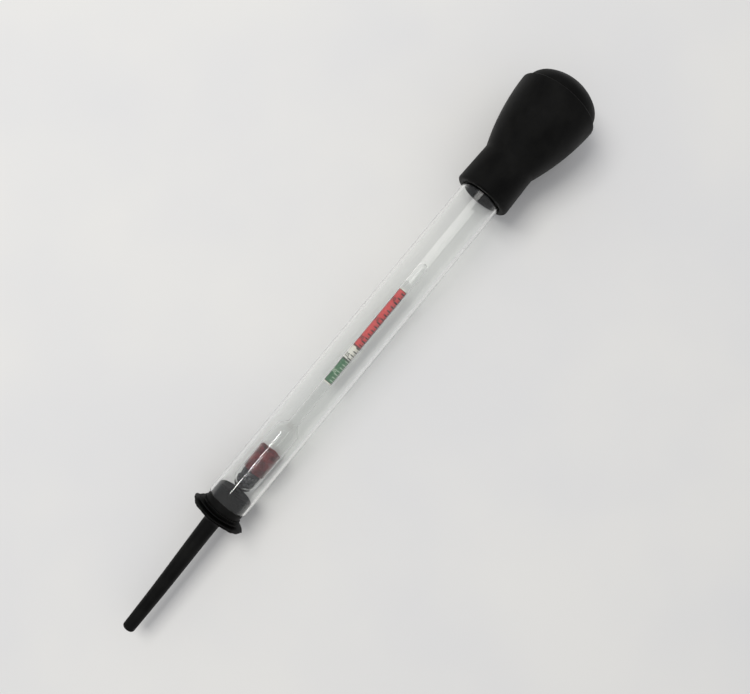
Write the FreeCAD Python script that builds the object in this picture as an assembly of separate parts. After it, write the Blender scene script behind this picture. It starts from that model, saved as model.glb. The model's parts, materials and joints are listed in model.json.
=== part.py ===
"""Suction hydrometer: a rubber bulb and a nozzle stopper on a glass barrel, with a weighted float inside.

Millimetres. Every turned piece is drawn on its own axis, along +X from the tip of the nozzle (station 0)
towards the bulb, and the finished set is then laid on the table, where it rests on the rim of the
stopper's flange and on the belly of the bulb. +Z is up, z = 0 is the table, and the origin is under the
middle of the whole object.
"""

import FreeCAD, Part
import math
import os

# nozzle stopper: one rubber moulding with a bore from the tip of the nozzle to the top of the plug
NOZZLE_LENGTH = 57.9
NOZZLE_TIP_DIAMETER = 5.6
NOZZLE_ROOT_DIAMETER = 7.6
NOZZLE_TIP_ROUND = 1.0
NOZZLE_BORE = 3.2
FLARE_LENGTH = 3.0
FLARE_DIAMETER = 13.6
COLLAR_SETBACK = 0.7
COLLAR_LENGTH = 3.1
FLANGE_HEIGHT = 3.85
FLANGE_THICKNESS = 1.4
SECOND_LIP_HEIGHT = 2.2
THIRD_LIP_HEIGHT = 0.8
LIP_THICKNESS = 0.7
LIP_GAP = 0.7
LIP_GROOVE_DEPTH = 0.7
PLUG_LENGTH = 6.2
PLUG_CHAMFER = 0.6

# glass barrel
BARREL_DIAMETER = 19.2
BARREL_WALL = 1.25
BARREL_LENGTH = 185.5
BARREL_END_ROUND = 0.5

# suction bulb
BULB_ENGAGEMENT = 15.7
BULB_NECK_LENGTH = 18.9
BULB_MOUTH_WALL = 3.15
BULB_MOUTH_ROUND = 2.4
BULB_MOUTH_CHAMFER = 0.6
BULB_WAIST_WALL = 2.6
BULB_BELLY_DIAMETER = 38.4
BULB_FLARE_LENGTH = 32.9
BULB_BELLY_SLOPE = 2.0
BULB_LEDGE = 1.5
BULB_LEDGE_ROUND = 0.5
BULB_DOME_HEIGHT = 11.2
BULB_KNUCKLE = 8.0
BULB_WALL = 2.2
BULB_CROWN_WALL = 2.6

# float: a sealed glass body and stem with a paper scale, shot and wax inside
FLOAT_BODY_DIAMETER = 11.6
FLOAT_BODY_LENGTH = 31.9
FLOAT_BODY_WALL = 0.4
FLOAT_SHOULDER_ANGLE = 45.0
FLOAT_SHOULDER_ROUND = 2.2
FLOAT_NECK_ROUND = 2.4
FLOAT_STEM_DIAMETER = 4.8
FLOAT_STEM_WALL = 0.3
FLOAT_STEM_LENGTH = 88.4
SCALE_START = 21.9
SCALE_LENGTH = 51.8
PAPER_THICKNESS = 0.15
PAPER_SEAM_WIDTH = 0.25
SHOT_DIAMETER = 2.15
SHOT_LAYERS = 5
WAX_HEIGHT = 8.0
WAX_MENISCUS = 4.2

# fits and clearances
STOPPER_FIT = 0.04
BULB_FIT = 0.04
SEAT_GAP = 0.05
FLOAT_END_GAP = 0.9
FLOAT_SIDE_GAP = 0.15
INSIDE_FLOAT_GAP = 0.02
SHOT_GAP = 0.02

# radii that follow from the sizes above
BARREL_BORE_RADIUS = BARREL_DIAMETER / 2 - BARREL_WALL
PLUG_RADIUS = BARREL_BORE_RADIUS - STOPPER_FIT
COLLAR_RADIUS = BARREL_DIAMETER / 2 - COLLAR_SETBACK
FLANGE_RADIUS = COLLAR_RADIUS + FLANGE_HEIGHT
BULB_BORE_RADIUS = BARREL_DIAMETER / 2 + BULB_FIT
BELLY_RADIUS = BULB_BELLY_DIAMETER / 2
FLOAT_RADIUS = FLOAT_BODY_DIAMETER / 2
FLOAT_INNER_RADIUS = FLOAT_RADIUS - FLOAT_BODY_WALL
STEM_RADIUS = FLOAT_STEM_DIAMETER / 2
STEM_INNER_RADIUS = STEM_RADIUS - FLOAT_STEM_WALL


def shoulder_run(round_radius, neck_radius, drop):
    """Length along the axis of a shoulder: an arc, a straight cone and an arc the other way."""
    angle = math.radians(FLOAT_SHOULDER_ANGLE)
    arcs = round_radius + neck_radius
    cone = (drop - arcs * (1 - math.cos(angle))) / math.sin(angle)
    return arcs * math.sin(angle) + cone * math.cos(angle)


# stations along the axis, from the tip of the nozzle
FLANGE_START = NOZZLE_LENGTH + FLARE_LENGTH
FLANGE_END = FLANGE_START + FLANGE_THICKNESS
COLLAR_START = FLANGE_END + 2 * (LIP_GAP + LIP_THICKNESS)
COLLAR_END = COLLAR_START + COLLAR_LENGTH
BARREL_START = COLLAR_END + SEAT_GAP
BARREL_END = BARREL_START + BARREL_LENGTH
PLUG_END = BARREL_START + PLUG_LENGTH
FLOAT_START = PLUG_END + FLOAT_END_GAP
FLOAT_SHOULDER = FLOAT_START + FLOAT_BODY_LENGTH
STEM_START = FLOAT_SHOULDER + shoulder_run(
    FLOAT_SHOULDER_ROUND, FLOAT_NECK_ROUND, FLOAT_RADIUS - STEM_RADIUS
)
FLOAT_TIP = STEM_START + FLOAT_STEM_LENGTH
BULB_START = BARREL_END - BULB_ENGAGEMENT
WAIST = BULB_START + BULB_NECK_LENGTH
BELLY = WAIST + BULB_FLARE_LENGTH
BULB_TOP = BELLY + BULB_DOME_HEIGHT

# the float lies on the lower wall of the barrel
FLOAT_DROP = BARREL_BORE_RADIUS - FLOAT_RADIUS - FLOAT_SIDE_GAP


class Outline:
    """A half section in the plane of the axis, drawn point by point and then turned about the axis."""

    def __init__(self, station, radius):
        self.start = FreeCAD.Vector(station, 0, radius)
        self.here = self.start
        self.edges = []

    def line(self, station, radius):
        """Go straight to a point."""
        end = FreeCAD.Vector(station, 0, radius)
        if end.distanceToPoint(self.here) > 1e-6:
            self.edges.append(Part.LineSegment(self.here, end).toShape())
            self.here = end
        return self

    def arc(self, through, end):
        """Go to a point on the arc that passes through another point."""
        middle = FreeCAD.Vector(through[0], 0, through[1])
        last = FreeCAD.Vector(end[0], 0, end[1])
        self.edges.append(Part.Arc(self.here, middle, last).toShape())
        self.here = last
        return self

    def turn_arc(self, centre, radius, start_angle, end_angle):
        """Follow a circle about a centre from one angle to another, in degrees from +X towards the rim."""
        angles = (start_angle, (start_angle + end_angle) / 2, end_angle)
        points = [
            (
                centre[0] + radius * math.cos(math.radians(angle)),
                centre[1] + radius * math.sin(math.radians(angle)),
            )
            for angle in angles
        ]
        self.line(*points[0])
        return self.arc(points[1], points[2])

    def revolved(self):
        """Close the outline and turn it about the axis into a solid."""
        self.line(self.start.x, self.start.z)
        face = Part.Face(Part.Wire(self.edges))
        solid = face.revolve(FreeCAD.Vector(0, 0, 0), FreeCAD.Vector(1, 0, 0), 360)
        if solid.Volume < 0:
            solid.reverse()
        return solid


def lip(outline, start, thickness, radius):
    """Draw one thin sealing lip with a fully rounded rim, up one side and over to the other."""
    rim = thickness / 2
    outline.turn_arc((start + rim, radius - rim), rim, 180, 0)


def nozzle_stopper():
    """The stopper: tapered nozzle, flare, flange, two more lips, collar and the plug in the barrel."""
    bore = NOZZLE_BORE / 2
    tip = NOZZLE_TIP_DIAMETER / 2
    lip_root = COLLAR_RADIUS - LIP_GROOVE_DEPTH
    outline = Outline(0, bore)
    outline.turn_arc((NOZZLE_TIP_ROUND, tip - NOZZLE_TIP_ROUND), NOZZLE_TIP_ROUND, 180, 90)
    outline.line(NOZZLE_LENGTH, NOZZLE_ROOT_DIAMETER / 2)
    outline.line(FLANGE_START, FLARE_DIAMETER / 2)
    lip(outline, FLANGE_START, FLANGE_THICKNESS, FLANGE_RADIUS)
    lip_start = FLANGE_END
    for height in (SECOND_LIP_HEIGHT, THIRD_LIP_HEIGHT):
        outline.line(lip_start, lip_root)
        outline.line(lip_start + LIP_GAP, lip_root)
        lip(outline, lip_start + LIP_GAP, LIP_THICKNESS, COLLAR_RADIUS + height)
        lip_start += LIP_GAP + LIP_THICKNESS
    outline.line(COLLAR_START, COLLAR_RADIUS)
    outline.line(COLLAR_END, COLLAR_RADIUS)
    outline.line(COLLAR_END, PLUG_RADIUS)
    outline.line(PLUG_END - PLUG_CHAMFER, PLUG_RADIUS)
    outline.line(PLUG_END, PLUG_RADIUS - PLUG_CHAMFER)
    outline.line(PLUG_END, bore)
    return outline.revolved()


def glass_barrel():
    """The barrel: a plain tube with fire-polished, rounded ends."""
    outer = BARREL_DIAMETER / 2
    inner = BARREL_BORE_RADIUS
    soft = BARREL_END_ROUND
    outline = Outline(BARREL_START + soft, inner)
    outline.turn_arc((BARREL_START + soft, inner + soft), soft, 270, 180)
    outline.turn_arc((BARREL_START + soft, outer - soft), soft, 180, 90)
    outline.turn_arc((BARREL_END - soft, outer - soft), soft, 90, 0)
    outline.turn_arc((BARREL_END - soft, inner + soft), soft, 0, -90)
    return outline.revolved()


def crown_radius(radius, height, knuckle):
    """Radius of the shallow crown that meets a knuckle arc on a dome of this radius and height."""
    reach = radius - knuckle
    return (height**2 + reach**2 - knuckle**2) / (2 * (height - knuckle))


def dome(outline, start, radius, height, knuckle):
    """Draw a dome from its rim to its top: a knuckle arc, then a shallow crown."""
    crown = crown_radius(radius, height, knuckle)
    centre = (start, radius - knuckle)
    crown_centre = start + height - crown
    meet = math.degrees(math.atan2(centre[1], centre[0] - crown_centre))
    outline.turn_arc(centre, knuckle, 90, meet)
    outline.turn_arc((crown_centre, 0), crown, meet, 0)


def flare_middle(throat, belly):
    """The middle of the arc that swells from the throat to the belly and ends at the belly's slope."""
    run = belly[0] - throat[0]
    rise = belly[1] - throat[1]
    half_turn = math.atan2(rise, run) - math.radians(BULB_BELLY_SLOPE)
    swell = math.tan(half_turn / 2) / 2
    middle = ((throat[0] + belly[0]) / 2, (throat[1] + belly[1]) / 2)
    return (middle[0] - swell * rise, middle[1] + swell * run)


def suction_bulb():
    """The bulb: a sleeve over the barrel, a swelling body with a moulded ledge, and a closed dome."""
    mouth = BULB_BORE_RADIUS + BULB_MOUTH_WALL
    waist = (WAIST, BULB_BORE_RADIUS + BULB_WAIST_WALL)
    belly = (BELLY - BULB_LEDGE_ROUND, BELLY_RADIUS)
    dome_radius = BELLY_RADIUS - BULB_LEDGE
    outline = Outline(BULB_START + BULB_MOUTH_CHAMFER, BULB_BORE_RADIUS)
    outline.line(BULB_START, BULB_BORE_RADIUS + BULB_MOUTH_CHAMFER)
    round_centre = (BULB_START + BULB_MOUTH_ROUND, mouth - BULB_MOUTH_ROUND)
    outline.turn_arc(round_centre, BULB_MOUTH_ROUND, 180, 90)
    outline.line(*waist)
    outline.arc(flare_middle(waist, belly), belly)
    ledge_centre = (BELLY - BULB_LEDGE_ROUND, BELLY_RADIUS - BULB_LEDGE_ROUND)
    outline.turn_arc(ledge_centre, BULB_LEDGE_ROUND, 90, 0)
    dome(outline, BELLY, dome_radius, BULB_DOME_HEIGHT, BULB_KNUCKLE)
    outline.line(BULB_TOP - BULB_CROWN_WALL, 0)
    inside_bulb(outline)
    return outline.revolved()


def inside_bulb(outline):
    """Draw the hollow of the bulb from the top of the dome back to the bore that grips the barrel."""
    hollow_radius = BELLY_RADIUS - BULB_LEDGE - BULB_WALL / 2
    hollow_start = BELLY - BULB_KNUCKLE / 2
    height = BULB_TOP - BULB_CROWN_WALL - hollow_start
    crown = crown_radius(hollow_radius, height, BULB_KNUCKLE)
    centre = (hollow_start, hollow_radius - BULB_KNUCKLE)
    crown_centre = hollow_start + height - crown
    meet = math.degrees(math.atan2(centre[1], centre[0] - crown_centre))
    outline.turn_arc((crown_centre, 0), crown, 0, meet)
    outline.turn_arc(centre, BULB_KNUCKLE, meet, 90)
    throat = (BARREL_END + SEAT_GAP + BARREL_WALL, BULB_BORE_RADIUS)
    rim = (hollow_start, hollow_radius)
    outline.arc(flare_middle(throat, rim), throat)


def float_outline(outline, body_wall, stem_wall):
    """Draw the float's outside, or its inside when given the walls, from the bottom to the tip."""
    body = FLOAT_RADIUS - body_wall
    stem = STEM_RADIUS - stem_wall
    rounding = FLOAT_SHOULDER_ROUND - body_wall
    neck = FLOAT_NECK_ROUND + body_wall
    angle = FLOAT_SHOULDER_ANGLE
    stem_start = FLOAT_SHOULDER + shoulder_run(rounding, neck, body - stem)
    outline.turn_arc((FLOAT_START + FLOAT_RADIUS, 0), body, 180, 90)
    outline.turn_arc((FLOAT_SHOULDER, body - rounding), rounding, 90, 90 - angle)
    outline.turn_arc((stem_start, stem + neck), neck, 270 - angle, 270)
    outline.turn_arc((FLOAT_TIP - STEM_RADIUS, 0), stem, 90, 0)


def float_glass():
    """The float's glass: a round-bottomed body drawn down to a thin stem, sealed at both ends."""
    outside = Outline(FLOAT_START, 0)
    float_outline(outside, 0, 0)
    inside = Outline(FLOAT_START + FLOAT_BODY_WALL, 0)
    float_outline(inside, FLOAT_BODY_WALL, FLOAT_STEM_WALL)
    return outside.revolved().cut(inside.revolved())


def scale_paper():
    """The paper scale: a strip rolled into a tube inside the stem, with a narrow open seam underneath."""
    outer = STEM_INNER_RADIUS - INSIDE_FLOAT_GAP
    inner = outer - PAPER_THICKNESS
    start = STEM_START + SCALE_START
    outline = Outline(start, inner)
    outline.line(start, outer)
    outline.line(start + SCALE_LENGTH, outer)
    outline.line(start + SCALE_LENGTH, inner)
    corner = FreeCAD.Vector(start - 1, -PAPER_SEAM_WIDTH / 2, -outer - 1)
    seam = Part.makeBox(SCALE_LENGTH + 2, PAPER_SEAM_WIDTH, outer + 1, corner)
    return outline.revolved().cut(seam)


def shot_places():
    """Centres of the shot: close-packed layers that fill the round bottom of the float."""
    pitch = SHOT_DIAMETER + SHOT_GAP
    layer_pitch = pitch * math.sqrt(2 / 3)
    shift = pitch / math.sqrt(3)
    reach = FLOAT_INNER_RADIUS - SHOT_DIAMETER / 2 - INSIDE_FLOAT_GAP
    centre_station = FLOAT_START + FLOAT_RADIUS
    first = centre_station - reach + SHOT_GAP
    places = []
    for layer in range(SHOT_LAYERS):
        station = first + layer * layer_pitch
        depth = min(station - centre_station, 0)
        across = math.sqrt(max(reach**2 - depth**2, 0))
        offset = shift * (layer % 2)
        for row in range(-3, 4):
            for column in range(-4, 5):
                y = pitch * (column + 0.5 * (row % 2))
                z = pitch * row * math.sqrt(3) / 2 + offset
                if math.hypot(y, z) <= across:
                    places.append(FreeCAD.Vector(station, y, z))
    return places


def lead_shot():
    """The ballast: loose round shot in the bottom of the float."""
    return Part.Compound([Part.makeSphere(SHOT_DIAMETER / 2, place) for place in shot_places()])


def sealing_wax():
    """The wax poured over the shot: a plug with a hollow top where the wax climbs the glass."""
    radius = FLOAT_INNER_RADIUS - INSIDE_FLOAT_GAP
    start = max(place.x for place in shot_places()) + SHOT_DIAMETER / 2 + INSIDE_FLOAT_GAP
    top = start + WAX_HEIGHT
    bowl = (radius**2 + WAX_MENISCUS**2) / (2 * WAX_MENISCUS)
    edge = math.degrees(math.asin(radius / bowl))
    outline = Outline(start, 0)
    outline.line(start, radius)
    outline.turn_arc((top + bowl, 0), bowl, 180 - edge, 180)
    return outline.revolved()


def rest_tilt():
    """Angle, in degrees, at which the flange's rim and the bulb's belly both touch the table."""
    rim = FLANGE_THICKNESS / 2
    run = BELLY - BULB_LEDGE_ROUND - FLANGE_START - rim
    rise = BELLY_RADIUS - BULB_LEDGE_ROUND - (FLANGE_RADIUS - rim)
    step = BULB_LEDGE_ROUND - rim
    return math.degrees(math.atan2(rise, run) + math.asin(step / math.hypot(run, rise)))


def laid_on_table(pieces):
    """Tilt all pieces to their resting angle and centre the whole object over the origin."""
    tilt = FreeCAD.Rotation(FreeCAD.Vector(0, 1, 0), -rest_tilt())
    turned = {name: shape.transformed(FreeCAD.Placement(FreeCAD.Vector(), tilt).toMatrix())
              for name, shape in pieces.items()}
    box = Part.Compound(list(turned.values())).optimalBoundingBox(False, False)
    shift = FreeCAD.Vector(-(box.XMin + box.XMax) / 2, -(box.YMin + box.YMax) / 2, -box.ZMin)
    return {name: shape.translated(shift) for name, shape in turned.items()}


def main():
    """Build every piece, put the float on the lower wall of the barrel, and write the STEP files."""
    pieces = {
        "glass_barrel": glass_barrel(),
        "suction_bulb": suction_bulb(),
        "nozzle_stopper": nozzle_stopper(),
    }
    down = FreeCAD.Vector(0, 0, -FLOAT_DROP)
    for build in (float_glass, scale_paper, lead_shot, sealing_wax):
        pieces[build.__name__] = build().translated(down)
    os.makedirs("parts", exist_ok=True)
    for name, shape in laid_on_table(pieces).items():
        shape.exportStep(f"parts/{name}.step")
        print(name, "solids", len(shape.Solids), "volume", round(shape.Volume, 1))


main()
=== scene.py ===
"""Finished look of a suction hydrometer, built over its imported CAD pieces.

A black rubber bulb and a black rubber stopper sit on a clear glass barrel. Inside lies a glass float with
dark shot, red wax and a printed paper scale. Sizes are in millimetres on the hydrometer's own axis: stations
run from the tip of the nozzle towards the bulb. Every finished mesh is in metres, in the frame of the CAD.
"""

import json
import logging
import math
from dataclasses import dataclass, field
from enum import Enum
from typing import Callable, Sequence, Union

import bmesh
import bpy
import numpy as np
from mathutils import Euler, Matrix, Vector, noise


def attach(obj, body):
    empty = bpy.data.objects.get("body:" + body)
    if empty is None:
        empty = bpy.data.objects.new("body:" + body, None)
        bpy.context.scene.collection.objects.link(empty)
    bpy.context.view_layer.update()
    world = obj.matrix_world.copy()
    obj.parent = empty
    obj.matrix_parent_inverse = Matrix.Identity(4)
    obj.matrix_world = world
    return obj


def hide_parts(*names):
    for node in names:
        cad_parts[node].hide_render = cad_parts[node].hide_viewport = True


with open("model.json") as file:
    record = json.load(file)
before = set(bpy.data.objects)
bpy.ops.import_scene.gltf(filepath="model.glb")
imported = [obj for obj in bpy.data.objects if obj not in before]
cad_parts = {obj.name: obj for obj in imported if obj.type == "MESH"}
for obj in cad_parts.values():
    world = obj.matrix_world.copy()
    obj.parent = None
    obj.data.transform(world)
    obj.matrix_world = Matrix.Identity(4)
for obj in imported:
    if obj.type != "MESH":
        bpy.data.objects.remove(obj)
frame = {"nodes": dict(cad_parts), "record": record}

LOG = logging.getLogger("hydrometer")
MM = 0.001
SHARP_ANGLE = math.radians(38)
MERGE_DISTANCE = 1e-4
ON_AXIS = 0.01
SHORTEST_LINE = 1e-6
PRINT_MAP = "print"

Colour = tuple[float, float, float]
Point = tuple[float, float]
BMesh = bmesh.types.BMesh
Face = bmesh.types.BMFace
Item = bpy.types.Object
Material = bpy.types.Material
Node = bpy.types.Node
Socket = bpy.types.NodeSocket
Tree = bpy.types.NodeTree
Value = Union[float, str, Colour, Socket]


class Body(Enum):
    """The moving bodies of the hydrometer."""

    BARREL = "barrel"
    BULB = "bulb"
    STOPPER = "stopper"
    FLOAT = "float"


class Slot(Enum):
    """Names of the kinds of finish; each piece carries one, though its material is given to it directly."""

    BULB = "bulb_rubber"
    STOPPER = "stopper_rubber"
    BARREL = "barrel_glass"
    FLOAT = "float_glass"
    PAPER = "scale_paper"
    SHOT = "shot_lead"
    WAX = "red_wax"


# ---------------------------------------------------------------------------------------------- measures


@dataclass(frozen=True)
class Span:
    """Where a CAD node lies along the axis, in millimetres.

    Attributes:
        start: Station of its end nearest the nozzle's tip.
        end: Station of its other end.
        radius: Largest distance from its own centre line.
        rise: Height of its centre line over the barrel's.
    """

    start: float
    end: float
    radius: float
    rise: float


@dataclass(frozen=True)
class Axis:
    """The long axis of the hydrometer.

    Attributes:
        origin: Centre of the nozzle's tip, in metres.
        along: Direction towards the bulb.
    """

    origin: Vector
    along: Vector

    @classmethod
    def from_record(cls, record: dict) -> "Axis":
        """Find the axis from the mount at the nozzle's tip.

        Args:
            record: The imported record.

        Returns:
            The axis, pointing towards the bulb.
        """
        mount = next(m for m in record["mounts"] if m["name"] == "nozzle_tip")
        along = Vector(mount["axis"]).normalized()
        return cls(Vector(mount["pos_m"]), along if along.x > 0 else -along)

    def matrix(self, rise: float = 0.0) -> Matrix:
        """Build the matrix from (station, left, up) in millimetres to metres in the CAD frame.

        Args:
            rise: Height of a piece's own centre line over the axis, in millimetres.

        Returns:
            The matrix that puts a turned piece in its place.
        """
        left = Vector((0, 1, 0))
        up = self.along.cross(left)
        turn = Matrix((self.along, left, up)).transposed().to_4x4()
        scale = Matrix.Diagonal((MM, MM, MM, 1))
        return Matrix.Translation(self.origin) @ turn @ scale @ Matrix.Translation((0, 0, rise))

    def span(self, node: str) -> Span:
        """Measure a CAD node along the axis.

        Args:
            node: Name of the node.

        Returns:
            Its stations, radius and height.
        """
        mesh = frame["nodes"][node].data
        points = np.empty(len(mesh.vertices) * 3)
        mesh.vertices.foreach_get("co", points)
        back = np.array(self.matrix().inverted())
        local = points.reshape(-1, 3) @ back[:3, :3].T + back[:3, 3]
        low, high = local.min(0), local.max(0)
        radius, rise = float(high[1] - low[1]) / 2, float(low[2] + high[2]) / 2
        return Span(float(low[0]), float(high[0]), radius, rise)


class Outline:
    """A half section, drawn point by point as stations and radii in millimetres."""

    def __init__(self, station: float, radius: float) -> None:
        """Start the outline at a point."""
        self.points = [Vector((station, 0.0, radius))]

    def line(self, station: float, radius: float, steps: int = 1) -> "Outline":
        """Go straight to a point.

        Args:
            station: Station of the point.
            radius: Radius of the point.
            steps: How many equal runs the line has.

        Returns:
            The outline itself.
        """
        start, end = self.points[-1].copy(), Vector((station, 0.0, radius))
        if (end - start).length > SHORTEST_LINE:
            self.points += [start.lerp(end, (i + 1) / steps) for i in range(steps)]
        return self

    def turn(self, centre: Point, radius: float, start: float, end: float, steps: int = 6) -> "Outline":
        """Go to the start of a circle's arc and follow it.

        Args:
            centre: Station and radius of the circle's centre.
            radius: Radius of the circle.
            start: First angle in degrees, from the bulb's direction towards the rim.
            end: Last angle in degrees.
            steps: How many runs the arc has.

        Returns:
            The outline itself.
        """
        for i in range(steps + 1):
            angle = math.radians(start + (end - start) * i / steps)
            self.line(centre[0] + radius * math.cos(angle), centre[1] + radius * math.sin(angle))
        return self

    def bow(self, middle: Point, end: Point, steps: int) -> "Outline":
        """Follow the circle's arc through a middle point to an end point.

        Args:
            middle: Station and radius of a point on the arc.
            end: Station and radius of the arc's end.
            steps: How many runs the arc has.

        Returns:
            The outline itself.
        """
        first, third = Vector((self.points[-1].x, self.points[-1].z)), Vector(end)
        a, b = Vector(middle) - first, third - first
        cross = 2 * (a.x * b.y - a.y * b.x)
        centre = first + Vector((b.y * a.length_squared - a.y * b.length_squared,
                                 a.x * b.length_squared - b.x * a.length_squared)) / cross
        radius = (first - centre).length
        angles = [math.degrees(math.atan2(p.y - centre.y, p.x - centre.x)) for p in (first, third)]
        if abs(angles[1] - angles[0]) > 180:
            angles[1] += 360 if angles[1] < angles[0] else -360
        return self.turn((centre.x, centre.y), radius, angles[0], angles[1], steps)


def crown_radius(radius: float, height: float, knuckle: float) -> float:
    """Find the shallow crown that meets a knuckle arc on a dome.

    Args:
        radius: Radius of the dome's foot.
        height: Height of the dome.
        knuckle: Radius of the knuckle arc.

    Returns:
        Radius of the crown.
    """
    reach = radius - knuckle
    return (height**2 + reach**2 - knuckle**2) / (2 * (height - knuckle))


def swell(throat: Point, belly: Point, slope: float) -> Point:
    """Find the middle of the arc that swells from a throat to a belly.

    Args:
        throat: Station and radius where it starts.
        belly: Station and radius where it ends.
        slope: Slope at its end, in degrees.

    Returns:
        Station and radius of the arc's middle.
    """
    run, rise = belly[0] - throat[0], belly[1] - throat[1]
    bulge = math.tan((math.atan2(rise, run) - math.radians(slope)) / 2) / 2
    return (throat[0] + belly[0]) / 2 - bulge * rise, (throat[1] + belly[1]) / 2 + bulge * run


# ------------------------------------------------------------------------------------------------ meshes


def spin_outline(bm: BMesh, outline: Outline, segments: int, closed: bool = True) -> list[Face]:
    """Turn an outline about the axis into a surface with its faces outwards.

    Args:
        bm: The mesh that gets the surface.
        outline: The half section.
        segments: How many segments the full turn has.
        closed: True for a ring whose last point joins its first.

    Returns:
        The new faces.
    """
    before = set(bm.faces)
    verts = [bm.verts.new(p) for p in outline.points]
    edges = [bm.edges.new(pair) for pair in zip(verts, verts[1:])]
    if closed:
        edges.append(bm.edges.new((verts[-1], verts[0])))
    bmesh.ops.spin(bm, geom=verts + edges, cent=(0, 0, 0), axis=(1, 0, 0), angle=math.tau,
                   steps=segments, use_merge=True)
    bmesh.ops.remove_doubles(bm, verts=bm.verts[:], dist=MERGE_DISTANCE)
    faces = [f for f in bm.faces if f not in before]
    bmesh.ops.recalc_face_normals(bm, faces=faces)
    return faces


def reshape(bm: BMesh, rule: Callable[[Vector], Vector]) -> None:
    """Move every vertex of a mesh by a rule on its place in millimetres."""
    for vert in bm.verts:
        vert.co = rule(vert.co)


def on_roll(station: float, radius: float, angle: float) -> Vector:
    """Return the place at a station, a radius and an angle from the top, towards the right."""
    return Vector((station, -radius * math.sin(angle), radius * math.cos(angle)))


def face_outwards(bm: BMesh) -> None:
    """Turn over every face that looks at the axis."""
    bm.normal_update()
    inward = [f for f in bm.faces if f.normal.dot(Vector((0, *f.calc_center_median()[1:]))) < 0]
    bmesh.ops.reverse_faces(bm, faces=inward)


def put_in_scene(name: str, data: bpy.types.ID) -> Item:
    """Make an object with this data, at the origin, and put it in the scene."""
    item = bpy.data.objects.new(name, data)
    bpy.context.scene.collection.objects.link(item)
    return item


@dataclass(frozen=True)
class Ripple:
    """Smooth unevenness of a surface.

    Attributes:
        depth: Largest movement that it makes, in millimetres.
        size: Length of its waves.
        seed: Which pattern of waves it has.
    """

    depth: float
    size: float
    seed: float

    def at(self, place: Vector) -> float:
        """Return the height of the waves at a place, from -1 to 1."""
        return noise.noise(place / self.size + Vector((self.seed, -self.seed, 2 * self.seed)))


@dataclass(frozen=True)
class Piece:
    """One finished piece: what it is called, what it rides on and what it stands for."""

    name: str
    body: Body
    slot: Slot
    replaces: tuple[str, ...] = ()

    def finish(self, bm: BMesh, matrix: Matrix, material: Material) -> Item:
        """Turn a mesh in millimetres into the finished piece in its place.

        Args:
            bm: The mesh, which is freed.
            matrix: Matrix to metres in the CAD frame.
            material: The piece's finish.

        Returns:
            The piece's object, at the origin.
        """
        bmesh.ops.transform(bm, matrix=matrix, verts=bm.verts[:])
        for face in bm.faces:
            face.smooth = True
        for edge in bm.edges:
            edge.smooth = len(edge.link_faces) == 2 and edge.calc_face_angle(0.0) < SHARP_ANGLE
        mesh = bpy.data.meshes.new(self.name)
        bm.to_mesh(mesh)
        bm.free()
        mesh.materials.append(material)
        return self.fit(put_in_scene(self.name, mesh))

    def fit(self, piece: Item) -> Item:
        """Make an object ride its body and stand for its CAD nodes.

        Args:
            piece: The object.

        Returns:
            The object itself.
        """
        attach(piece, self.body.value)
        if self.replaces:
            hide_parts(*self.replaces)
        LOG.info("%s: %d faces, rides %s", piece.name, len(piece.data.polygons), self.body.value)
        return piece


# ------------------------------------------------------------------------------------------- node graphs


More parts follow.
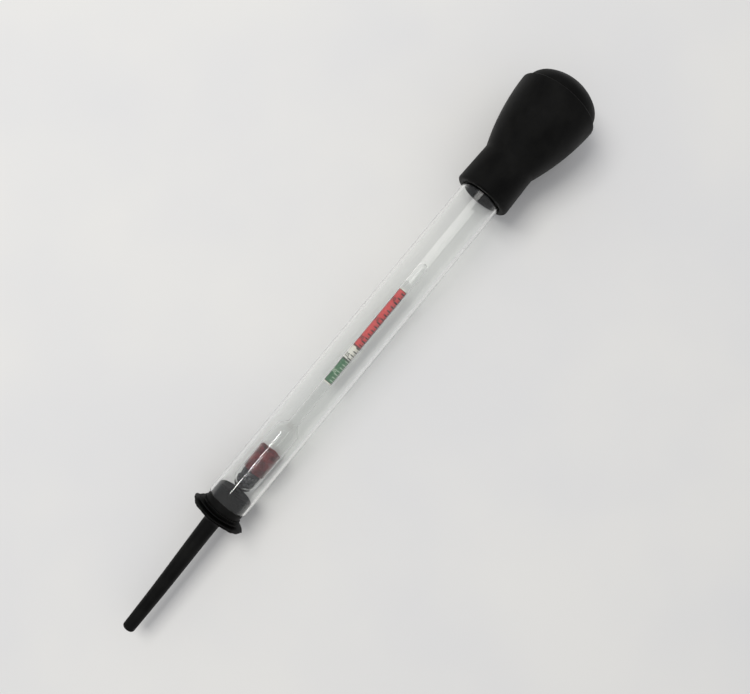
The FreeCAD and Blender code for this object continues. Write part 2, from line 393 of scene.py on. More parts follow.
class Graph:
    """A node tree, with short calls that add and join nodes."""

    def __init__(self, tree: Tree) -> None:
        """Wrap a node tree."""
        self.tree = tree

    @classmethod
    def material(cls, name: str) -> tuple[Material, "Graph"]:
        """Make an empty material.

        Args:
            name: The material's name.

        Returns:
            The material and the graph of its node tree.
        """
        material = bpy.data.materials.new(name)
        material.use_nodes = True
        material.node_tree.nodes.clear()
        return material, cls(material.node_tree)

    def node(self, kind: str, **inputs: Value) -> Node:
        """Add a node.

        Args:
            kind: The node's type, without the ShaderNode in front.
            **inputs: Sockets, with a capital letter and _ for a space, and properties, in small letters.

        Returns:
            The node.
        """
        node = self.tree.nodes.new("ShaderNode" + kind)
        for name, value in inputs.items():
            if name[0].isupper():
                self.feed(value, node.inputs[name.replace("_", " ")])
            else:
                setattr(node, name, value)
        return node

    def feed(self, value: Value, socket: Socket) -> None:
        """Give a socket a constant, or join another socket to it.

        Args:
            value: The constant, or the socket that feeds this one.
            socket: The socket that gets it.
        """
        if isinstance(value, Socket):
            self.tree.links.new(value, socket)
        elif isinstance(value, tuple) and socket.type == "RGBA":
            socket.default_value = (*value, 1.0)
        else:
            socket.default_value = value

    def math(self, operation: str, *values: Value) -> Socket:
        """Add a math node.

        Args:
            operation: Name of the operation.
            *values: Its values, in order.

        Returns:
            The node's result.
        """
        node = self.node("Math", operation=operation)
        for value, socket in zip(values, node.inputs):
            self.feed(value, socket)
        return node.outputs[0]

    def times(self, first: Value, *others: Value) -> Socket:
        """Multiply values and return the result."""
        for other in others:
            first = self.math("MULTIPLY", first, other)
        return first

    def mix(self, factor: Value, first: Value, second: Value) -> Socket:
        """Mix two colours.

        Args:
            factor: Share of the second colour.
            first: The first colour.
            second: The second colour.

        Returns:
            The mixed colour.
        """
        node = self.node("Mix", data_type="RGBA")
        for value, index in ((factor, 0), (first, 6), (second, 7)):
            self.feed(value, node.inputs[index])
        return node.outputs[2]

    def between(self, value: Value, low: Value, high: Value) -> Socket:
        """Return 1 where a value lies between two limits, else 0."""
        return self.times(self.math("GREATER_THAN", value, low), self.math("LESS_THAN", value, high))

    def ramp(self, value: Value, low: float, high: float, start: float = 0.0, end: float = 1.0) -> Socket:
        """Rescale a value from one range to another with soft ends.

        Args:
            value: The value.
            low: Where the first range starts.
            high: Where it ends.
            start: Where the second range starts.
            end: Where it ends.

        Returns:
            The rescaled value.
        """
        node = self.node("MapRange", interpolation_type="SMOOTHSTEP", Value=value,
                         From_Min=low, From_Max=high, To_Min=start, To_Max=end)
        return node.outputs["Result"]

    def noise(self, place: Socket, scale: Value, detail: float = 3.0, rough: float = 0.55) -> Socket:
        """Add a noise texture and return its value."""
        node = self.node("TexNoise", Vector=place, Scale=scale, Detail=detail, Roughness=rough)
        return node.outputs["Fac"]

    def place(self) -> Socket:
        """Return the object coordinates."""
        return self.node("TexCoord").outputs["Object"]

    def stretched(self, factors: Value) -> Socket:
        """Stretch the object coordinates.

        Args:
            factors: What each coordinate is multiplied by.

        Returns:
            The new coordinates.
        """
        node = self.node("VectorMath", operation="MULTIPLY")
        self.feed(self.place(), node.inputs[0])
        self.feed(factors, node.inputs[1])
        return node.outputs["Vector"]

    def bump(self, strength: float, distance: float, height: Value) -> Socket:
        """Add a bump of this many metres and return its normal."""
        return self.node("Bump", Strength=strength, Distance=distance, Height=height).outputs["Normal"]

    def principled(self, **inputs: Value) -> Socket:
        """Add a Principled shader with its sockets set and return it."""
        return self.node("BsdfPrincipled", **inputs).outputs["BSDF"]

    def group(self, effect: "Effect", **inputs: Value) -> Node:
        """Place a shared effect with its own values.

        Args:
            effect: The effect.
            **inputs: Its values, with _ for a space.

        Returns:
            The group's node.
        """
        node = self.tree.nodes.new("ShaderNodeGroup")
        node.node_tree = effect.tree()
        for name, value in inputs.items():
            self.feed(value, node.inputs[name.replace("_", " ")])
        return node

    def output(self, shader: Socket) -> None:
        """Join a shader to the material's output."""
        self.tree.links.new(shader, self.node("OutputMaterial").inputs["Surface"])


class Effect(Enum):
    """Effects that more than one finish uses, each one a shared node group."""

    GRAIN = "moulded_grain"
    DUST = "settled_dust"
    RUB = "rubbed_edges"
    SMEARS = "handling_smears"

    def tree(self) -> Tree:
        """Find the effect's node group, and build it when it is first used.

        Returns:
            The node group.
        """
        found = bpy.data.node_groups.get(self.value)
        if found:
            return found
        tree = bpy.data.node_groups.new(self.value, "ShaderNodeTree")
        makers = {Effect.GRAIN: self.grain, Effect.DUST: self.dust,
                  Effect.RUB: self.rub, Effect.SMEARS: self.smears}
        makers[self](tree)
        return tree

    @staticmethod
    def sockets(tree: Tree, inputs: dict[str, float], outputs: Sequence[str]) -> tuple[Node, Node]:
        """Give a group its named sockets.

        Args:
            tree: The group's node tree.
            inputs: Name and first value of each input.
            outputs: Name of each output.

        Returns:
            The group's input node and output node.
        """
        for name, value in inputs.items():
            socket = tree.interface.new_socket(name, in_out="INPUT", socket_type="NodeSocketFloat")
            socket.default_value = value
        for name in outputs:
            tree.interface.new_socket(name, in_out="OUTPUT", socket_type="NodeSocketFloat")
        return tree.nodes.new("NodeGroupInput"), tree.nodes.new("NodeGroupOutput")

    @classmethod
    def grain(cls, tree: Tree) -> None:
        """Fine pits and slow waves, as a mould leaves them.

        Args:
            tree: The group's node tree.
        """
        inputs = {"Fine": 3000.0, "Coarse": 90.0, "Waves": 0.5}
        source, sink = cls.sockets(tree, inputs, ("Height", "Mottle"))
        graph = Graph(tree)
        place = graph.place()
        fine = graph.noise(place, source.outputs["Fine"], 4.0, 0.6)
        coarse = graph.noise(place, source.outputs["Coarse"], 2.0)
        waves = graph.times(coarse, source.outputs["Waves"])
        graph.feed(graph.math("ADD", fine, waves), sink.inputs["Height"])
        graph.feed(graph.ramp(coarse, 0.35, 0.7), sink.inputs["Mottle"])

    @classmethod
    def dust(cls, tree: Tree) -> None:
        """Dust that lies in patches, mostly on what faces up.

        Args:
            tree: The group's node tree.
        """
        source, sink = cls.sockets(tree, {"Amount": 0.2, "Scale": 60.0, "Specks": 1800.0}, ("Mask",))
        graph = Graph(tree)
        place = graph.place()
        normal = graph.node("NewGeometry").outputs["Normal"]
        facing = graph.node("SeparateXYZ", Vector=normal).outputs["Z"]
        patches = graph.ramp(graph.noise(place, source.outputs["Scale"], 5.0, 0.65), 0.42, 0.75)
        specks = graph.ramp(graph.noise(place, source.outputs["Specks"], 2.0, 0.7), 0.58, 0.72)
        lying = graph.ramp(facing, -0.2, 0.9, 0.25, 1.0)
        both = graph.math("ADD", graph.times(patches, 0.6), graph.times(specks, 0.7))
        mask = graph.times(both, lying, source.outputs["Amount"])
        graph.feed(graph.math("MINIMUM", mask, 1.0), sink.inputs["Mask"])

    @classmethod
    def rub(cls, tree: Tree) -> None:
        """Wear on the edges that stand proud.

        Args:
            tree: The group's node tree.
        """
        source, sink = cls.sockets(tree, {"Amount": 0.5, "Scale": 400.0}, ("Mask",))
        graph = Graph(tree)
        edge = graph.ramp(graph.node("NewGeometry").outputs["Pointiness"], 0.505, 0.56)
        broken = graph.ramp(graph.noise(graph.place(), source.outputs["Scale"], 3.0, 0.7), 0.35, 0.65)
        graph.feed(graph.times(edge, broken, source.outputs["Amount"]), sink.inputs["Mask"])

    @classmethod
    def smears(cls, tree: Tree) -> None:
        """Faint smears along the piece, as fingers and dried drops leave on glass and wax.

        Args:
            tree: The group's node tree.
        """
        source, sink = cls.sockets(tree, {"Amount": 0.1, "Scale": 120.0, "Stretch": 0.25}, ("Mask",))
        graph = Graph(tree)
        stretch = graph.node("CombineXYZ", X=source.outputs["Stretch"], Y=1.0, Z=1.0).outputs["Vector"]
        cloud = graph.noise(graph.stretched(stretch), source.outputs["Scale"], 5.0, 0.62)
        mask = graph.times(graph.ramp(cloud, 0.45, 0.75), source.outputs["Amount"])
        graph.feed(mask, sink.inputs["Mask"])


# ---------------------------------------------------------------------------------------------- finishes


@dataclass(frozen=True)
class Finish:
    """A finish: its name and how its shader is built."""

    name: str

    def shader(self, graph: Graph) -> Socket:
        """Build the shader in the material's graph and return it."""
        raise NotImplementedError

    def material(self) -> Material:
        """Build the material.

        Returns:
            The material, with the finish's own name.
        """
        material, graph = Graph.material(self.name)
        graph.output(self.shader(graph))
        return material


@dataclass(frozen=True)
class Rubber(Finish):
    """Black moulded rubber, dull, with a fine grain, a little bloom and dust, and paler rubbed edges."""

    colour: Colour = (0.0020, 0.0020, 0.0019)
    bloom: Colour = (0.0045, 0.0045, 0.0042)
    dust_colour: Colour = (0.070, 0.067, 0.062)
    roughness: float = 0.50
    specular: float = 0.11
    grain: float = 3200.0
    depth: float = 0.00003
    dust: float = 0.07
    wear: float = 0.35
    rubbed: float = 3.0

    def shader(self, graph: Graph) -> Socket:
        """Build the shader.

        Args:
            graph: The material's graph.

        Returns:
            The shader's output.
        """
        grain = graph.group(Effect.GRAIN, Fine=self.grain, Coarse=110.0, Waves=0.6)
        dust = graph.group(Effect.DUST, Amount=self.dust, Scale=70.0, Specks=4200.0)
        rub = graph.group(Effect.RUB, Amount=self.wear, Scale=500.0)
        base = graph.mix(grain.outputs["Mottle"], self.colour, self.bloom)
        worn = graph.mix(rub.outputs["Mask"], base, tuple(self.rubbed * c for c in self.bloom))
        colour = graph.mix(dust.outputs["Mask"], worn, self.dust_colour)
        rough = graph.math("ADD", graph.times(grain.outputs["Mottle"], 0.12), self.roughness)
        rough = graph.math("ADD", rough, graph.times(dust.outputs["Mask"], 0.3))
        return graph.principled(Base_Color=colour, Roughness=rough, Specular_IOR_Level=self.specular,
                                Normal=graph.bump(0.55, self.depth, grain.outputs["Height"]))


@dataclass(frozen=True)
class ClearGlass(Finish):
    """Clear drawn glass with faint smears and draw lines.

    Light from a lamp, and light on its way to a dull surface, passes straight through. It is dimmed most at
    the edges of the tube, so the glass throws a soft pale shadow.
    """

    colour: Colour = (0.980, 0.986, 0.980)
    shade: Colour = (0.95, 0.955, 0.95)
    edge_shade: Colour = (0.68, 0.69, 0.68)
    roughness: float = 0.008
    smears: float = 0.03
    ior: float = 1.5
    draw_lines: float = 0.0000004

    def shader(self, graph: Graph) -> Socket:
        """Build the shader.

        Args:
            graph: The material's graph.

        Returns:
            The shader's output.
        """
        smears = graph.group(Effect.SMEARS, Amount=self.smears, Scale=140.0, Stretch=0.2)
        rough = graph.math("ADD", smears.outputs["Mask"], self.roughness)
        drawn = graph.noise(graph.stretched((0.03, 1.0, 1.0)), 700.0, 2.0)
        shader = graph.principled(Base_Color=self.colour, Roughness=rough, IOR=self.ior,
                                  Transmission_Weight=1.0, Normal=graph.bump(0.2, self.draw_lines, drawn))
        grazing = graph.ramp(graph.node("LayerWeight", Blend=0.5).outputs["Facing"], 0.45, 1.0)
        clear = graph.node("BsdfTransparent", Color=graph.mix(grazing, self.shade, self.edge_shade))
        rays = graph.node("LightPath")
        for kind in ("Is Diffuse Ray", "Is Shadow Ray"):
            mixed = graph.node("MixShader")
            for value, socket in zip((rays.outputs[kind], shader, clear.outputs["BSDF"]), mixed.inputs):
                graph.feed(value, socket)
            shader = mixed.outputs["Shader"]
        return shader


@dataclass(frozen=True)
class PrintedScale(Finish):
    """The paper of the scale: red, white and green bands, with graduations that follow the float's balance.

    Attributes:
        mass: Mass of the float, in grams.
        volume: Volume that is under the liquid up to the paper's lower end, in cubic centimetres.
        stem_area: Volume of a millimetre of the stem, in cubic centimetres.
        green_above: Specific gravity above which the band is green.
        red_below: Specific gravity below which the band is red.
        step: Specific gravity from one graduation to the next.
        graduations: For each kind, how many steps apart they are, the two distances round the paper from its
            top line between which they are drawn, and half their width as a share of what lies between them.
        end_margin: Bare paper at each end, in millimetres.
        length: Length of the paper.
        border: Width of the dark line that ends a band.
        paper: Colour of the bare paper.
        stain: What the darkest stain multiplies that colour by.
        red: Colour of the red band.
        green: Colour of the green band.
        ink: Colour of the lines.
        pale_ink: Colour of the lines on the green band.
        painted_side_shade_start: Distance round the paper from its top line to where the bands' sides are
            darkened with ink colour, a painted shade of the roll turning away.
        border_and_shade_strength: How much of the ink colour shows in the printed end lines and in the
            painted side shade.
    """

    mass: float = 5.16
    volume: float = 3.876
    stem_area: float = 0.0181
    green_above: float = 1.2534
    red_below: float = 1.2185
    step: float = 0.005
    graduations: tuple[tuple[int, float, float, float], ...] = (
        (1, 1.3, 2.9, 0.12), (2, 0.2, 2.9, 0.13), (10, -0.1, 2.9, 0.03))
    end_margin: float = 0.5
    length: float = 51.8
    paper: Colour = (0.86, 0.84, 0.78)
    stain: Colour = (0.93, 0.89, 0.80)
    red: Colour = (0.66, 0.042, 0.044)
    green: Colour = (0.035, 0.15, 0.062)
    ink: Colour = (0.012, 0.011, 0.011)
    pale_ink: Colour = (0.48, 0.60, 0.46)
    border: float = 0.3
    painted_side_shade_start: float = 2.05
    border_and_shade_strength: float = 0.85

    def gravity(self, along: float) -> float:
        """Return the specific gravity at a distance along the paper in millimetres."""
        return self.mass / (self.volume + self.stem_area * along)

    def along(self, gravity: float) -> float:
        """Return the distance along the paper, in millimetres, where a specific gravity is read."""
        return (self.mass / gravity - self.volume) / self.stem_area

    def marks(self, graph: Graph, gravity: Socket, around: Socket) -> Socket:
        """Draw the graduations.

        Args:
            graph: The material's graph.
            gravity: Specific gravity at the point.
            around: Distance round the paper from its top line, in millimetres.

        Returns:
            A mask that is 1 on the ink.
        """
        masks = []
        for every, start, end, half in self.graduations:
            steps = graph.math("DIVIDE", gravity, self.step * every)
            turns = graph.math("FRACT", graph.math("ADD", steps, 0.5))
            off = graph.math("ABSOLUTE", graph.math("SUBTRACT", turns, 0.5))
            close = graph.math("LESS_THAN", off, half)
            masks.append(graph.times(close, graph.between(around, start, end)))
        return graph.math("MAXIMUM", masks[0], graph.math("MAXIMUM", masks[1], masks[2]))

    def shader(self, graph: Graph) -> Socket:
        """Build the shader on the paper's own map, which is in millimetres.

        Args:
            graph: The material's graph.

        Returns:
            The shader's output.
        """
        print_map = graph.node("UVMap", uv_map=PRINT_MAP).outputs["UV"]
        around, along = graph.node("SeparateXYZ", Vector=print_map).outputs[:2]
        depth = graph.math("ADD", graph.times(along, self.stem_area), self.volume)
        gravity = graph.math("DIVIDE", self.mass, depth)
        fibre = graph.noise(graph.place(), 2600.0, 4.0, 0.65)
        stain = graph.noise(graph.place(), 180.0, 3.0)
        stained = tuple(c * s for c, s in zip(self.paper, self.stain))
        paper = graph.mix(graph.ramp(stain, 0.35, 0.75), self.paper, stained)
        printed = graph.between(along, self.end_margin, self.length - self.end_margin)
        is_green = graph.times(graph.math("GREATER_THAN", gravity, self.green_above), printed)
        is_red = graph.times(graph.math("LESS_THAN", gravity, self.red_below), printed)
        colour = graph.mix(is_green, graph.mix(is_red, paper, self.red), self.green)
        # Painted shade: ink colour darkens the bands on the roll's sides, away from its top line; the lines
        # at the band ends are print.
        end_rules_and_side_shade = graph.math("GREATER_THAN", graph.math("ABSOLUTE", around), self.painted_side_shade_start)
        for end in (0.0, self.along(self.green_above), self.along(self.red_below), self.length):
            away = graph.math("ABSOLUTE", graph.math("SUBTRACT", along, end))
            near = graph.math("LESS_THAN", away, self.border + self.end_margin)
            end_rules_and_side_shade = graph.math("MAXIMUM", end_rules_and_side_shade, near)
        for band in (is_green, is_red):
            colour = graph.mix(graph.times(band, graph.times(end_rules_and_side_shade, self.border_and_shade_strength)), colour, self.ink)
        faded = graph.mix(graph.ramp(fibre, 0.45, 0.8, 0.0, 0.25), colour, paper)
        ink = graph.mix(is_green, self.ink, self.pale_ink)
        marks = graph.times(self.marks(graph, gravity, around), printed)
        inked, rough = graph.mix(marks, faded, ink), graph.ramp(fibre, 0.3, 0.7, 0.55, 0.75)
        return graph.principled(Base_Color=inked, Roughness=rough, Normal=graph.bump(0.3, 0.00002, fibre))


@dataclass(frozen=True)
class Ink(Finish):
    """Printing ink on paper, worn thin in places."""

    colour: Colour = (0.012, 0.011, 0.012)

    def shader(self, graph: Graph) -> Socket:
        """Build the shader.

        Args:
            graph: The material's graph.

        Returns:
            The shader's output.
        """
        spread = graph.noise(graph.place(), 5200.0, 3.0, 0.7)
        thin = tuple(0.06 + 0.9 * c for c in self.colour)
        colour = graph.mix(graph.ramp(spread, 0.5, 0.85, 0.0, 0.35), self.colour, thin)
        rough = graph.ramp(spread, 0.3, 0.7, 0.45, 0.6)
        return graph.principled(Base_Color=colour, Roughness=rough)


@dataclass(frozen=True)
class OldLead(Finish):
    """Dark grey lead shot, dulled by a grey oxide."""

    name: str = "oxidised_lead"
    bare: Colour = (0.115, 0.115, 0.118)
    oxide: Colour = (0.030, 0.031, 0.033)
    dust: Colour = (0.16, 0.155, 0.145)

    def shader(self, graph: Graph) -> Socket:
        """Build the shader.

        Args:
            graph: The material's graph.

        Returns:
            The shader's output.
        """
        grain = graph.group(Effect.GRAIN, Fine=2600.0, Coarse=520.0, Waves=0.8)
        dust = graph.group(Effect.DUST, Amount=0.2, Scale=300.0, Specks=2600.0)
        base = graph.mix(grain.outputs["Mottle"], self.oxide, self.bare)
        colour = graph.mix(dust.outputs["Mask"], base, self.dust)
        rough = graph.ramp(grain.outputs["Mottle"], 0.0, 1.0, 0.62, 0.40)
        metal = graph.ramp(grain.outputs["Mottle"], 0.1, 0.9, 0.35, 0.85)
        return graph.principled(Base_Color=colour, Roughness=rough, Metallic=metal,
                                Normal=graph.bump(0.5, 0.00004, grain.outputs["Height"]))


@dataclass(frozen=True)
class RedWax(Finish):
    """Glossy red sealing wax with a slightly cloudy depth."""

    name: str = "sealing_wax_red"
    deep: Colour = (0.062, 0.004, 0.005)
    light: Colour = (0.18, 0.014, 0.016)
    roughness: float = 0.22

    def shader(self, graph: Graph) -> Socket:
        """Build the shader.

        Args:
            graph: The material's graph.

        Returns:
            The shader's output.
        """
        grain = graph.group(Effect.GRAIN, Fine=900.0, Coarse=260.0, Waves=1.2)
        smears = graph.group(Effect.SMEARS, Amount=0.25, Scale=300.0, Stretch=0.7)
        colour = graph.mix(grain.outputs["Mottle"], self.deep, self.light)
        rough = graph.math("ADD", smears.outputs["Mask"], self.roughness)
        return graph.principled(
            Base_Color=colour, Roughness=rough, Normal=graph.bump(0.4, 0.00012, grain.outputs["Height"]),
            Subsurface_Weight=0.25, Subsurface_Radius=(1.0, 0.25, 0.2), Subsurface_Scale=0.0015,
            Coat_Weight=0.35, Coat_Roughness=0.12)


@dataclass(frozen=True)
class PaleTable(Finish):
    """A plain pale table top, very slightly uneven in tone."""

    name: str = "pale_table"
    colour: Colour = (0.74, 0.735, 0.715)
    shade: Colour = (0.70, 0.70, 0.70)

    def shader(self, graph: Graph) -> Socket:
        """Build the shader.

        Args:
            graph: The material's graph.

        Returns:
            The shader's output.
        """
        cloud = graph.noise(graph.place(), 9.0, 3.0, 0.5)
        fine = graph.noise(graph.place(), 500.0, 2.0)
        colour = graph.mix(graph.ramp(cloud, 0.3, 0.7), self.colour, self.shade)
        return graph.principled(Base_Color=colour, Roughness=0.7, Specular_IOR_Level=0.25,
                                Normal=graph.bump(0.1, 0.00005, fine))


# ----------------------------------------------------------------------------------------- sub-assemblies


@dataclass
class SuctionBulb:
    """The rubber bulb: a sleeve over the barrel, a swelling body with a ledge round it, and a closed dome."""

    axis: Axis
    bore_radius: float = 9.64
    mouth_chamfer: float = 0.6
    mouth_round: float = 1.4
    mouth_wall: float = 3.15
    waist_wall: float = 2.6
    neck_length: float = 18.9
    belly_slope: float = 2.0
    ledge: float = 1.5
    ledge_round: float = 0.5
    dome_height: float = 11.2
    knuckle: float = 8.0
    wall: float = 2.2
    crown_wall: float = 2.6
    throat_from_mouth: float = 17.0
    flash: float = 0.09
    flash_half_angle: float = 0.4
    flash_stop: float = 1.0
    stiff_run: float = 10.0
    dents: Ripple = Ripple(0.16, 16.0, 3.1)
    segments: int = 240
    finish: Rubber = field(default_factory=lambda: Rubber("bulb_black_rubber"))

    def outline(self, span: Span) -> Outline:
        """Draw the half section, from the top of the dome over the skin to the mouth and back inside.

        Args:
            span: Where the CAD bulb lies.

        Returns:
            The outline, with both ends on the axis.
        """
        full = span.radius - self.flash
        belly = span.end - self.dome_height
        crown = crown_radius(full - self.ledge, self.dome_height, self.knuckle)
        meet = math.degrees(math.atan2(full - self.ledge - self.knuckle, belly - (span.end - crown)))
        outline = Outline(span.end, 0.0)
        outline.turn((span.end - crown, 0.0), crown, 0.5, meet, 18)
        outline.turn((belly, full - self.ledge - self.knuckle), self.knuckle, meet, 90, 12)
        outline.line(belly, full - self.ledge_round)
        outline.turn((belly - self.ledge_round, full - self.ledge_round), self.ledge_round, 0, 90, 5)
        waist = (span.start + self.neck_length, self.bore_radius + self.waist_wall)
        rim = (belly - self.ledge_round, full)
        outline.bow(swell(waist, rim, self.belly_slope), waist, 34)
        mouth = self.bore_radius + self.mouth_wall
        outline.line(span.start + self.mouth_round, mouth, 12)
        outline.turn((span.start + self.mouth_round, mouth - self.mouth_round), self.mouth_round, 90, 180, 8)
        outline.line(span.start, self.bore_radius + self.mouth_chamfer)
        outline.line(span.start + self.mouth_chamfer, self.bore_radius)
        return self.hollow(outline, span, full)

    def hollow(self, outline: Outline, span: Span, full: float) -> Outline:
        """Draw the inside, from the bore that grips the glass to the top of the hollow.

        Args:
            outline: The outline so far, at the mouth.
            span: Where the CAD bulb lies.
            full: Radius of the belly.

        Returns:
            The whole outline.
        """
        throat = (span.start + self.throat_from_mouth, self.bore_radius)
        radius = full - self.ledge - self.wall / 2
        start = span.end - self.dome_height - self.knuckle / 2
        height = span.end - self.crown_wall - start
        crown = crown_radius(radius, height, self.knuckle)
        centre = start + height - crown
        meet = math.degrees(math.atan2(radius - self.knuckle, start - centre))
        outline.line(*throat, steps=10)
        outline.bow(swell(throat, (start, radius), self.belly_slope), (start, radius), 20)
        outline.turn((start, radius - self.knuckle), self.knuckle, 90, meet, 10)
        outline.turn((centre, 0.0), crown, meet, 0.5, 12)
        return outline.line(start + height, 0.0)

    def settle(self, span: Span, place: Vector, skin: bool) -> Vector:
        """Move a vertex a little, as no soft moulding is quite round, and raise the mould's parting line.

        Args:
            span: Where the CAD bulb lies.
            place: The vertex in millimetres.
            skin: True for a vertex on the outside.

        Returns:
            Its new place.
        """
        radius = math.hypot(place.y, place.z)
        if radius < ON_AXIS:
            return place
        past_sleeve = min(max((place.x - span.start - self.neck_length) / self.stiff_run, 0.0), 1.0)
        shrink = self.dents.depth * past_sleeve * (0.5 + 0.5 * self.dents.at(place))
        from_side = abs(math.degrees(math.atan2(abs(place.y), place.z)) - 90.0)
        on_line = skin and from_side < self.flash_half_angle and place.x < span.end - self.flash_stop
        factor = (radius - shrink + (self.flash if on_line else 0.0)) / radius
        return Vector((place.x, place.y * factor, place.z * factor))

    def build(self) -> Item:
        """Build the bulb in its place.

        Returns:
            The piece.
        """
        span = self.axis.span("suction_bulb")
        bm = bmesh.new()
        spin_outline(bm, self.outline(span), self.segments, closed=False)
        bm.normal_update()
        skin = {vert for vert in bm.verts if vert.normal.dot(Vector((0.0, vert.co.y, vert.co.z))) > 0.0}
        for vert in bm.verts:
            vert.co = self.settle(span, vert.co, vert in skin)
        piece = Piece("bulb_skin", Body.BULB, Slot.BULB, ("suction_bulb",))
        return piece.finish(bm, self.axis.matrix(), self.finish.material())


@dataclass
class GlassBarrel:
    """The clear glass tube with fire-polished ends."""

    axis: Axis
    wall: float = 1.25
    end_round: float = 0.5
    steps: int = 16
    segments: int = 480
    finish: ClearGlass = field(default_factory=lambda: ClearGlass("barrel_clear_glass"))

    def build(self) -> Item:
        """Build the barrel in its place.

        Returns:
            The piece.
        """
        span = self.axis.span("glass_barrel")
        outer, inner, soft = span.radius, span.radius - self.wall, self.end_round
        outline = Outline(span.start, inner + soft)
        outline.turn((span.start + soft, outer - soft), soft, 180, 90, 6)
        outline.line(span.end - soft, outer, self.steps)
        outline.turn((span.end - soft, outer - soft), soft, 90, 0, 6)
        outline.turn((span.end - soft, inner + soft), soft, 0, -90, 6)
        outline.line(span.start + soft, inner, self.steps)
        outline.turn((span.start + soft, inner + soft), soft, 270, 190, 6)
        bm = bmesh.new()
        spin_outline(bm, outline, self.segments)
        piece = Piece("barrel_tube", Body.BARREL, Slot.BARREL, ("glass_barrel",))
        return piece.finish(bm, self.axis.matrix(), self.finish.material())


@dataclass
class NozzleStopper:
    """The rubber stopper: nozzle, flare, flange, two thin lips, collar and plug, with a bore through all."""

    axis: Axis
    nozzle_length: float = 57.9
    tip_radius: float = 2.8
    root_radius: float = 3.8
    tip_round: float = 1.0
    bore_radius: float = 1.6
    tip_chamfer: float = 0.15
    plug_bore_chamfer: float = 0.2
    flare_length: float = 3.0
    flare_radius: float = 6.8
    flare_start: float = 0.8
    flare_round: float = 1.9
    flare_edge: Point = (0.05, 0.1)
    collar_radius: float = 8.9
    collar_length: float = 3.1
    collar_round: float = 0.15
    flange_thickness: float = 1.4
    leaf_thickness: float = 0.55
    leaf_step: float = 0.7
    leaf_root: float = 9.7
    lip_thickness: float = 0.7
    rim: float = 0.34
    lip_gap: float = 0.7
    lip_heights: tuple[float, float] = (2.2, 0.8)
    groove: float = 0.7
    groove_round: float = 0.3
    plug_radius: float = 8.31
    plug_chamfer: float = 0.6
    set_angle: float = 1.55
    set_sway: float = 0.25
    waves: Ripple = Ripple(0.35, 0.55, 8.3)
    tears: Ripple = Ripple(0.5, 0.16, 4.7)
    wavy_run: float = 9.0
    worn_side: float = 1.1
    segments: int = 160
    finish: Rubber = field(
        default_factory=lambda: Rubber("stopper_black_rubber", dust=0.1, wear=0.5, grain=3800.0))

    def outline(self, span: Span) -> Outline:
        """Draw the half section, outside from tip to plug and back through the bore.

        Args:
            span: Where the CAD stopper lies.

        Returns:
            The outline, a closed ring.
        """
        start, tip, flare = span.start, self.tip_round, self.flare_round
        outline = Outline(start, self.bore_radius + self.tip_chamfer)
        outline.turn((start + tip, self.tip_radius - tip), tip, 180, 90, 6)
        foot = start + self.nozzle_length - self.flare_start
        outline.line(foot, self.root_radius, 40)
        outline.turn((foot, self.root_radius + flare), flare, 270, 315, 5)
        flange = start + self.nozzle_length + self.flare_length
        outline.line(flange - self.flare_edge[0], self.flare_radius - self.flare_edge[1], 4)
        here = flange + self.flange_thickness
        self.lip(outline, flange, self.leaf_thickness, span.radius - self.leaf_step)
        outline.line(flange + self.leaf_thickness, self.leaf_root, 2)
        outline.line(here - self.leaf_thickness, self.leaf_root)
        self.lip(outline, here - self.leaf_thickness, self.leaf_thickness, span.radius)
        soft = self.groove_round
        for height in self.lip_heights:
            root = self.collar_radius - self.groove
            outline.turn((here + soft, root + soft), soft, 180, 270, 4)
            here += self.lip_gap
            outline.turn((here - soft, root + soft), soft, 270, 360, 4)
            self.lip(outline, here, self.lip_thickness, self.collar_radius + height)
            here += self.lip_thickness
        outline.line(here, self.collar_radius)
        collar_end, soft = here + self.collar_length, self.collar_round
        outline.turn((collar_end - soft, self.collar_radius - soft), soft, 90, 0, 3)
        outline.line(collar_end, self.plug_radius)
        end, soft = span.end, self.plug_chamfer
        outline.line(end - soft, self.plug_radius, 6)
        outline.turn((end - soft, self.plug_radius - soft), soft, 90, 0, 5)
        outline.line(end, self.bore_radius + self.plug_bore_chamfer, 5)
        outline.line(end - self.plug_bore_chamfer, self.bore_radius)
        return outline.line(start + self.tip_chamfer, self.bore_radius, 50)

    def lip(self, outline: Outline, start: float, thickness: float, radius: float) -> None:
        """Draw a lip that thins to a rounded rim: up its sloping side, over, and down to its flat side.

        Args:
            outline: The outline so far, at the lip's root.
            start: Station of the lip's side nearest the nozzle, at its root.
            thickness: Thickness at the root.
            radius: Radius of the rim.
        """
        half = self.rim / 2
        outline.turn((start + thickness - half, radius - half), half, 150, 0, 7)

    def settle(self, span: Span, place: Vector) -> Vector:
        """Bend the nozzle a little to one side, as it has set, and let the lips wave.

        Args:
            span: Where the CAD stopper lies.
            place: The vertex in millimetres.

        Returns:
            Its new place.
        """
        radius = math.hypot(place.y, place.z)
        root = span.start + self.nozzle_length
        neck = self.collar_radius - self.groove
        if radius > neck and place.x < root + self.wavy_run:
            reach = (radius - neck) / (span.radius - neck)
            around = Vector((0.0, place.y, place.z)) / radius
            wave = self.waves.depth * reach * self.waves.at(around)
            tear = self.tears.depth * reach * self.tears.at(around + Vector((round(place.x), 0.0, 0.0)))
            if place.x > root + self.flare_length + self.flange_thickness + 0.1:
                tear += self.worn_side * reach * max(0.0, -around.y)
            place = place + Vector((wave, 0.0, 0.0)) - around * tear
        if place.x < root:
            lean = math.tan(math.radians(self.set_angle)) * (root - place.x)
            sway = self.set_sway * math.sin((root - place.x) / self.nozzle_length * math.pi)
            place = place - Vector((0.0, lean + sway * min(1.0, lean), 0.0))
        return place

    def build(self) -> Item:
        """Build the stopper in its place.

        Returns:
            The piece.
        """
        span = self.axis.span("nozzle_stopper")
        bm = bmesh.new()
        spin_outline(bm, self.outline(span), self.segments)
        reshape(bm, lambda place: self.settle(span, place))
        piece = Piece("stopper_moulding", Body.STOPPER, Slot.STOPPER, ("nozzle_stopper",))
        return piece.finish(bm, self.axis.matrix(), self.finish.material())


